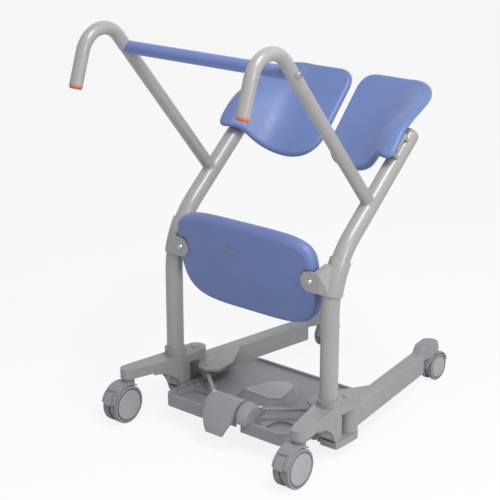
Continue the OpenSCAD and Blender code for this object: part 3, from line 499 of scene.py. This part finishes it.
def knee_place(x, y, z):
    """From the pad's own axes to the frame: it leans forward about the line of its screws."""
    c, n = math.cos(KNEE_LEAN), math.sin(KNEE_LEAN)
    y, z = y * c - (z - SCREW_Z) * n, SCREW_Z + y * n + (z - SCREW_Z) * c
    c, n = math.cos(KNEE_TILT), math.sin(KNEE_TILT)
    return (x * MM, (KNEE_Y + y * c - z * n + SHIFT) * MM, (KNEE_Z + y * n + z * c) * MM)


def knee_places(points, h):
    return [knee_place(x, y, z) for (x, z), y in zip(points, h)]


def knee_outline():
    out = []
    for k in range(KNEE_STEPS):
        a = 2 * math.pi * k / KNEE_STEPS
        c, s = math.cos(a), math.sin(a)
        px = math.copysign(abs(c) ** KNEE_POWER, c) * KNEE_W / 2 * (1 - KNEE_TAPER * (1 - s))
        pz = math.copysign(abs(s) ** (KNEE_POWER if s > 0 else KNEE_LOW_POWER), s) * KNEE_H / 2
        out.append((px, pz))
    return even(out, KNEE_POINTS)


def knee_front(points, d):
    """Depth of the front face at points that lie at a distance d from the outline."""
    r = KNEE_EDGE + KNEE_EDGE_TOP * np.clip((points[:, 1] - TOP_FROM) / TOP_OVER, 0, 1)
    crown = KNEE_CROWN * np.minimum(1, d / KNEE_CROWN_OVER) ** KNEE_CROWN_POWER
    y = EDGE_DEPTH * (1 - quarter_round(d, r)) - crown
    # flat under the bracket plates
    px, pz = np.abs(points[:, 0]), points[:, 1] - SCREW_Z
    across = np.clip((px - (SCREW_X - PLATE / 2 - PLATE_SIDE)) / PLATE_SIDE_OVER, 0, 1)
    under = across * np.clip((PLATE / 2 + PLATE_END - np.abs(pz)) / PLATE_END_OVER, 0, 1)
    seat = PLATE_GAP + pz * math.tan(KNEE_LEAN)
    return np.where(under > 0, np.maximum(y, seat * under + y * (1 - under)), y)


def knee_rear(points, d):
    """Depth of the rear face."""
    crown = KNEE_CROWN_REAR * np.minimum(1, d / KNEE_CROWN_OVER)
    return KNEE_T - EDGE_DEPTH * (1 - quarter_round(d, KNEE_EDGE_REAR)) + crown


def knee_pad():
    """Knee cushion: front and rear faces, joined by a double line of piping."""
    loop = knee_outline()
    flat = pillow(loop, KNEE_CENTRE, KNEE_RINGS)
    verts = []
    front = side_rows(verts, flat, loop, knee_front, knee_places)
    rear = side_rows(verts, flat, loop, knee_rear, knee_places)
    piping = [new_points(verts, knee_places(KNEE_CENTRE + (loop - KNEE_CENTRE) * grow, np.full(len(loop), y)))
              for grow, y in PIPING]
    faces = bands(front, True) + bands(rear) + bands([front[0]] + piping + [rear[0]])
    obj = add("knee_cushion", verts, faces, LOOK["pad_blue"], "chassis", level=1)
    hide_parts("knee_pad")


# Badge: a bare oval on the front of the knee pad
BADGE_X, BADGE_Z = -33.0, 46.0
BADGE_RX, BADGE_RZ = 26.0, 11.5
BADGE_POINTS = 64
# Share of the oval, and depth against the pad's face
BADGE_RINGS = ((1.0, 1.0), (1.0, -0.7), (0.97, -1.0), (0.9, -1.05), (0.6, -1.1), (0.3, -1.15))


def badge():
    loop = knee_outline()
    turn = [2 * math.pi * j / BADGE_POINTS for j in range(BADGE_POINTS)]
    verts, rows = [], []
    for k, h in BADGE_RINGS:
        pts = np.array([(BADGE_X + k * BADGE_RX * math.cos(a), BADGE_Z + k * BADGE_RZ * math.sin(a)) for a in turn])
        rows.append(new_points(verts, knee_places(pts, knee_front(pts, edge_distance(pts, loop)) + h)))
    add("badge_plate", verts, bands(rows) + [rows[0][::-1], rows[-1]], BADGE, "chassis")


# Weld beads at the roots of the handles
WELD_POINTS, WELD_ROUND = 96, 8
WELD_R = 2.3
RIPPLE, RIPPLE_POINTS = 0.10, 4


def weld_path(root):
    """Points on the line where the handle tube meets the mast tube."""
    handle = np.array([0.0, -math.cos(HANDLE_SLOPE), math.sin(HANDLE_SLOPE)])
    mast = np.array([0.0, SINR, COSR])
    across = np.array([1.0, 0.0, 0.0])
    other = np.cross(handle, across)
    path = []
    for k in range(WELD_POINTS):
        a = 2 * math.pi * k / WELD_POINTS
        ring = HANDLE_R * (math.cos(a) * across + math.sin(a) * other)
        # distance along the handle at which this line of the tube leaves the mast
        p = ring - (ring @ mast) * mast
        h = handle - (handle @ mast) * mast
        qa, qb, qc = h @ h, 2 * (p @ h), p @ p - MAST_R * MAST_R
        u = (-qb + math.sqrt(max(0.0, qb * qb - 4 * qa * qc))) / (2 * qa)
        path.append(root + ring + u * handle)
    return np.array(path)


def weld(side):
    root = np.array([MAST_X * side, *HANDLE_ROOT])
    path = weld_path(root)
    verts, rows = [], []
    for k in range(WELD_POINTS):
        t = path[(k + 1) % WELD_POINTS] - path[k - 1]
        t /= np.linalg.norm(t)
        out = path[k] - root
        out -= (out @ t) * t
        out /= np.linalg.norm(out)
        b = np.cross(t, out)
        r = WELD_R * (1 + RIPPLE * math.sin(k * 2 * math.pi / RIPPLE_POINTS))
        ring = []
        for j in range(WELD_ROUND):
            c = 2 * math.pi * j / WELD_ROUND
            v = path[k] + r * (math.cos(c) * out + math.sin(c) * b)
            ring.append((v[0] * MM, (v[1] + SHIFT) * MM, v[2] * MM))
        rows.append(new_points(verts, ring))
    faces = bands(rows + rows[:1])
    add("weld_" + SIDES[side], verts, faces, LOOK["frame_grey"], "chassis", level=1)


for s in SIDES:
    seat_pad(s)
knee_pad()
badge()
for s in SIDES:
    weld(s)

# Floor: mostly white to the camera, and the rest takes the shadow
FLOOR_SIZE = 60
FLOOR_Z = -0.0005
FLOOR_WHITE = 0.86

floor_mat = bpy.data.materials.new("floor")
floor_mat.use_nodes = True
ft = floor_mat.node_tree
f_bsdf = next(n for n in ft.nodes if n.type == "BSDF_PRINCIPLED")
f_bsdf.inputs["Base Color"].default_value = (0.92, 0.92, 0.92, 1)
f_bsdf.inputs["Roughness"].default_value = 0.9
f_bsdf.inputs["Specular IOR Level"].default_value = 0.1
f_out = next(n for n in ft.nodes if n.type == "OUTPUT_MATERIAL")
f_white = shader(ft, "Emission", {"Color": (1, 1, 1, 1), "Strength": 1.0})
f_path = shader(ft, "LightPath")
f_part = shader(ft, "Math", operation="MULTIPLY")
f_part.inputs[1].default_value = FLOOR_WHITE
f_mix = shader(ft, "MixShader")
ft.links.new(f_path.outputs["Is Camera Ray"], f_part.inputs[0])
ft.links.new(f_part.outputs[0], f_mix.inputs["Fac"])
ft.links.new(f_bsdf.outputs[0], f_mix.inputs[1])
ft.links.new(f_white.outputs[0], f_mix.inputs[2])
ft.links.new(f_mix.outputs[0], f_out.inputs["Surface"])
bpy.ops.mesh.primitive_plane_add(size=FLOOR_SIZE, location=(0, 0, FLOOR_Z))
floor = bpy.context.object
floor.name = "floor"
paint(floor, floor_mat)
